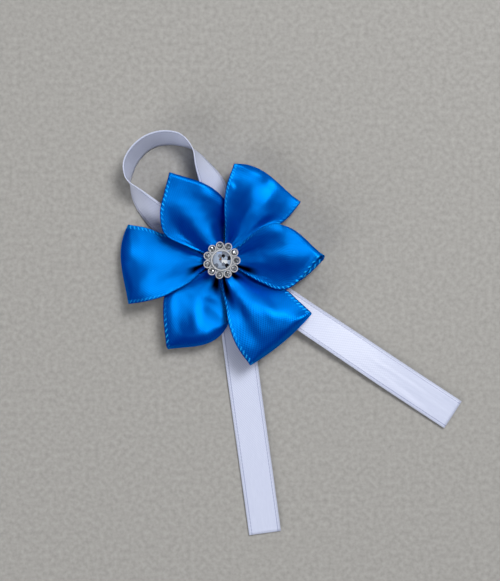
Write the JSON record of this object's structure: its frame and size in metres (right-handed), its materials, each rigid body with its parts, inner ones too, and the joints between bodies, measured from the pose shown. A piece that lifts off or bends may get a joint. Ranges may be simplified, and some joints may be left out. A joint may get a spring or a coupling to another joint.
{
  "type": "lapel rosette",
  "caption": "Lapel rosette: a flower of folded wide ribbon petals with a jewelled button, over a narrow ribbon that makes a hanging loop and two tails, with a pin on the back.",
  "frame": {"origin": "On the table or cloth behind the rosette, under the middle of the flower, where the pin holds it. The thing lies on its back.", "axes": "+Z points away from the wearer, up at a viewer looking down on it. +Y runs from the tails to the hanging loop and is the longest extent. +X is to the viewer's right. Z is the shortest extent."},
  "size_m": [0.106, 0.1256, 0.0118],
  "materials": {
    "blue_satin": "satin weave ribbon, royal blue",
    "white_satin": "satin weave ribbon, white",
    "setting": "clear moulded plastic, polished",
    "stone": "clear cut stone, foil backed",
    "pin_steel": "nickel plated steel"
  },
  "bodies": {
    "root": {"petal_1": "blue_satin", "petal_2": "blue_satin", "petal_3": "blue_satin", "petal_4": "blue_satin", "petal_5": "blue_satin", "petal_6": "blue_satin", "narrow_ribbon": "white_satin", "jewel_setting": "setting", "centre_stone": "stone", "small_stone_01": "stone", "small_stone_02": "stone", "small_stone_03": "stone", "small_stone_04": "stone", "small_stone_05": "stone", "small_stone_06": "stone", "small_stone_07": "stone", "small_stone_08": "stone", "small_stone_09": "stone", "small_stone_10": "stone", "small_stone_11": "stone", "back_pin": "pin_steel"}
  },
  "joints": []
}
